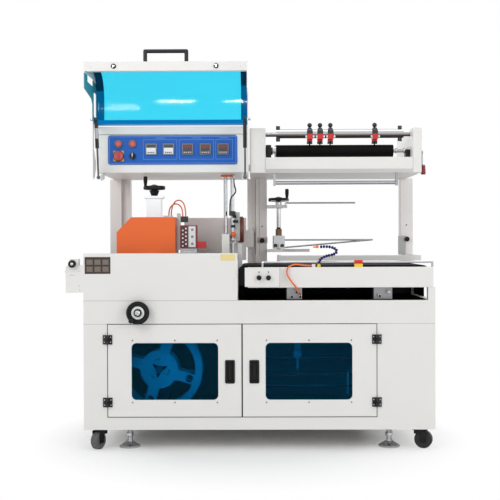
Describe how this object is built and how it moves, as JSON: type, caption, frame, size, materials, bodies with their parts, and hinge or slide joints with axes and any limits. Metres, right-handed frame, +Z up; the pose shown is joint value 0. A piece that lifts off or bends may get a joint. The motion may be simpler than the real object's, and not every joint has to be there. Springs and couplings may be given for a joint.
{
  "type": "side sealer",
  "caption": "Side sealer for film packaging with an open clear hood, sealing head, film rack, conveyors and a base cabinet on feet and casters.",
  "frame": {"origin": "Under the middle of the machine's box, on the floor, with the hood open.", "axes": "+X to the right along the product flow, +Y to the back, +Z up"},
  "size_m": [1.583, 1.08, 1.669],
  "materials": {
    "white_paint": "satin powder coat",
    "steel": "brushed",
    "chrome": "polished",
    "black_plastic": "fine grain",
    "spring_steel": "ground",
    "clear_sheet": "clear tinted sheet",
    "belt": "fabric-faced belt",
    "rubber": "smooth rubber",
    "panel_blue": "gloss film",
    "red_plastic": "moulded",
    "orange_guard": "gloss powder coat",
    "tube_orange": "extruded",
    "cable_black": "extruded",
    "hose_blue": "moulded",
    "caster_zinc": "zinc plated",
    "caster_tread": "moulded"
  },
  "bodies": {
    "frame": {"cabinet": "white_paint", "steel_fittings": "steel", "front_housing": "white_paint", "conveyor_beds": "steel", "conveyor_belts": "belt", "outfeed_beam": "white_paint", "frame_posts": "white_paint", "control_case": "white_paint", "control_panel": "panel_blue", "panel_meters": "black_plastic", "film_rack": "white_paint", "punch_bar": "chrome", "seal_column": "steel", "sensor_unit": "black_plastic", "jaw_guides": "chrome", "blow_hose": "hose_blue", "beam_air_tube": "tube_orange", "jaw_cable": "cable_black"},
    "left_door": {"left_door": "white_paint", "left_window": "clear_sheet", "left_door_fittings": "black_plastic"},
    "right_door": {"right_door": "white_paint", "right_window": "clear_sheet", "right_door_fittings": "black_plastic"},
    "front_left_caster": {"front_left_caster_fork": "caster_zinc"},
    "front_left_wheel": {"front_left_caster_wheel": "caster_tread"},
    "rear_left_wheel": {"rear_left_caster_wheel": "caster_tread"},
    "front_right_caster": {"front_right_caster_fork": "caster_zinc"},
    "front_right_wheel": {"front_right_caster_wheel": "caster_tread"},
    "rear_right_wheel": {"rear_right_caster_wheel": "caster_tread"},
    "infeed_knob": {"infeed_knob": "black_plastic"},
    "speed_knob_left": {"speed_knob_left": "black_plastic"},
    "speed_knob_right": {"speed_knob_right": "black_plastic"},
    "start_button": {"start_button": "red_plastic"},
    "stop_button": {"stop_button": "red_plastic"},
    "main_switch": {"main_switch_dial": "red_plastic"},
    "selector": {"selector_knob": "black_plastic"},
    "hood": {"hood_frame": "white_paint", "hood_sheet": "clear_sheet", "hood_fittings": "black_plastic"},
    "left_spring_rod": {"left_spring_rod": "spring_steel"},
    "left_spring_tube": {"left_spring_tube": "black_plastic"},
    "right_spring_rod": {"right_spring_rod": "spring_steel"},
    "right_spring_tube": {"right_spring_tube": "black_plastic"},
    "rubber_roller": {"rubber_roller": "rubber"},
    "guide_roller": {"guide_roller": "chrome"},
    "needle_wheels": {"needle_wheels": "chrome"},
    "rack_lever": {"rack_lever": "red_plastic"},
    "seal_head": {"seal_head": "orange_guard", "outer_air_loop": "tube_orange", "inner_air_loop": "tube_orange"},
    "seal_hand_wheel": {"seal_hand_wheel": "black_plastic"},
    "seal_crank_grip": {"seal_crank_grip": "black_plastic"},
    "upper_jaw": {"upper_jaw": "white_paint"},
    "film_guide": {"film_guide": "white_paint"},
    "guide_hand_wheel": {"guide_hand_wheel": "black_plastic"},
    "guide_crank_grip": {"guide_crank_grip": "black_plastic"},
    "scrap_reel": {"scrap_reel": "white_paint"},
    "front_hand_wheel": {"front_hand_wheel": "black_plastic"}
  },
  "joints": [
    {"name": "left_door_joint", "type": "hinge", "parent": "frame", "child": "left_door", "pos_m": [-0.6055, -0.3193, 0.34], "axis": [0, 0, -1], "range_deg": [0, 110]},
    {"name": "right_door_joint", "type": "hinge", "parent": "frame", "child": "right_door", "pos_m": [0.5425, -0.3193, 0.34], "axis": [0, 0, 1], "range_deg": [0, 110]},
    {"name": "front_left_caster_joint", "type": "hinge", "parent": "frame", "child": "front_left_caster", "pos_m": [-0.6425, -0.251, 0.08], "axis": [0, 0, 1], "continuous": true},
    {"name": "front_left_wheel_joint", "type": "hinge", "parent": "front_left_caster", "child": "front_left_wheel", "pos_m": [-0.65349, -0.27456, 0.0385], "axis": [0.9063, -0.4226, 0], "continuous": true},
    {"name": "rear_left_wheel_joint", "type": "hinge", "parent": "frame", "child": "rear_left_wheel", "pos_m": [-0.6425, 0.449, 0.0385], "axis": [1, 0, 0], "continuous": true},
    {"name": "front_right_caster_joint", "type": "hinge", "parent": "frame", "child": "front_right_caster", "pos_m": [0.7255, -0.251, 0.08], "axis": [0, 0, 1], "continuous": true},
    {"name": "front_right_wheel_joint", "type": "hinge", "parent": "front_right_caster", "child": "front_right_wheel", "pos_m": [0.74993, -0.25989, 0.0385], "axis": [0.342, 0.9397, 0], "continuous": true},
    {"name": "rear_right_wheel_joint", "type": "hinge", "parent": "frame", "child": "rear_right_wheel", "pos_m": [0.7255, 0.449, 0.0385], "axis": [1, 0, 0], "continuous": true},
    {"name": "infeed_knob_joint", "type": "hinge", "parent": "frame", "child": "infeed_knob", "pos_m": [-0.7535, -0.323, 0.8], "axis": [0, 1, 0], "continuous": true},
    {"name": "speed_knob_left_joint", "type": "hinge", "parent": "frame", "child": "speed_knob_left", "pos_m": [0.0415, -0.357, 0.74], "axis": [0, 1, 0], "range_deg": [-135, 135]},
    {"name": "speed_knob_right_joint", "type": "hinge", "parent": "frame", "child": "speed_knob_right", "pos_m": [0.0815, -0.357, 0.74], "axis": [0, 1, 0], "range_deg": [-135, 135]},
    {"name": "start_button_joint", "type": "slide", "parent": "frame", "child": "start_button", "axis": [0, 1, 0], "range_m": [0, 0.004], "stiffness_N_per_m": 60},
    {"name": "stop_button_joint", "type": "slide", "parent": "frame", "child": "stop_button", "axis": [0, 1, 0], "range_m": [0, 0.004], "stiffness_N_per_m": 60},
    {"name": "main_switch_joint", "type": "hinge", "parent": "frame", "child": "main_switch", "pos_m": [-0.5655, -0.248, 1.265], "axis": [0, 1, 0], "range_deg": [0, 90]},
    {"name": "selector_joint", "type": "hinge", "parent": "frame", "child": "selector", "pos_m": [-0.5045, -0.248, 1.265], "axis": [0, 1, 0], "range_deg": [-45, 45]},
    {"name": "hood_joint", "type": "hinge", "parent": "frame", "child": "hood", "pos_m": [-0.3315, -0.1945, 1.2165], "axis": [1, 0, 0], "range_deg": [0, 90]},
    {"name": "left_spring_rod_joint", "type": "hinge", "parent": "frame", "child": "left_spring_rod", "pos_m": [-0.6465, -0.282, 1.17], "axis": [1, 0, 0], "range_deg": [0, 118.8]},
    {"name": "left_spring_tube_joint", "type": "slide", "parent": "left_spring_rod", "child": "left_spring_tube", "axis": [0, -0.2216, 0.9751], "range_m": [-0.104, 0]},
    {"name": "right_spring_rod_joint", "type": "hinge", "parent": "frame", "child": "right_spring_rod", "pos_m": [-0.0165, -0.282, 1.17], "axis": [1, 0, 0], "range_deg": [0, 118.8]},
    {"name": "right_spring_tube_joint", "type": "slide", "parent": "right_spring_rod", "child": "right_spring_tube", "axis": [0, -0.2216, 0.9751], "range_m": [-0.104, 0]},
    {"name": "rubber_roller_joint", "type": "hinge", "parent": "frame", "child": "rubber_roller", "pos_m": [0.3725, -0.115, 1.296], "axis": [1, 0, 0], "continuous": true},
    {"name": "guide_roller_joint", "type": "hinge", "parent": "frame", "child": "guide_roller", "pos_m": [0.3725, -0.163, 1.152], "axis": [1, 0, 0], "continuous": true},
    {"name": "needle_wheels_joint", "type": "hinge", "parent": "frame", "child": "needle_wheels", "pos_m": [0.3525, -0.115, 1.3324], "axis": [1, 0, 0], "continuous": true},
    {"name": "rack_lever_joint", "type": "hinge", "parent": "frame", "child": "rack_lever", "pos_m": [0.7595, -0.163, 1.284], "axis": [1, 0, 0], "range_deg": [-35, 60]},
    {"name": "seal_head_joint", "type": "slide", "parent": "frame", "child": "seal_head", "axis": [0, 0, 1], "range_m": [0, 0.02]},
    {"name": "seal_hand_wheel_joint", "type": "hinge", "parent": "frame", "child": "seal_hand_wheel", "pos_m": [-0.4285, -0.081, 1.12], "axis": [0, 0, 1], "range_deg": [0, 1440]},
    {"name": "seal_crank_grip_joint", "type": "hinge", "parent": "seal_hand_wheel", "child": "seal_crank_grip", "pos_m": [-0.4685, -0.081, 1.16], "axis": [0, 0, 1], "continuous": true},
    {"name": "upper_jaw_joint", "type": "slide", "parent": "frame", "child": "upper_jaw", "axis": [0, 0, 1], "range_m": [-0.036, 0.04]},
    {"name": "film_guide_joint", "type": "slide", "parent": "frame", "child": "film_guide", "axis": [0, 0, 1], "range_m": [0, 0.09]},
    {"name": "guide_hand_wheel_joint", "type": "hinge", "parent": "frame", "child": "guide_hand_wheel", "pos_m": [0.1375, 0.187, 1.08], "axis": [0, 0, 1], "range_deg": [0, 6480]},
    {"name": "guide_crank_grip_joint", "type": "hinge", "parent": "guide_hand_wheel", "child": "guide_crank_grip", "pos_m": [0.1775, 0.187, 1.12], "axis": [0, 0, 1], "continuous": true},
    {"name": "scrap_reel_joint", "type": "hinge", "parent": "frame", "child": "scrap_reel", "pos_m": [-0.3985, -0.143, 0.332], "axis": [0, 1, 0], "continuous": true},
    {"name": "front_hand_wheel_joint", "type": "hinge", "parent": "frame", "child": "front_hand_wheel", "pos_m": [-0.4725, -0.333, 0.592], "axis": [0, 1, 0], "continuous": true}
  ],
  "couplings": [
    {"joint": "left_spring_rod_joint", "follows": "hood_joint", "ratio": 1.32},
    {"joint": "left_spring_tube_joint", "follows": "hood_joint", "m_per_rad": -0.0659},
    {"joint": "right_spring_rod_joint", "follows": "hood_joint", "ratio": 1.32},
    {"joint": "right_spring_tube_joint", "follows": "hood_joint", "m_per_rad": -0.0659},
    {"joint": "seal_hand_wheel_joint", "follows": "seal_head_joint", "rad_per_m": 1256.6},
    {"joint": "guide_hand_wheel_joint", "follows": "film_guide_joint", "rad_per_m": 1256.6}
  ]
}
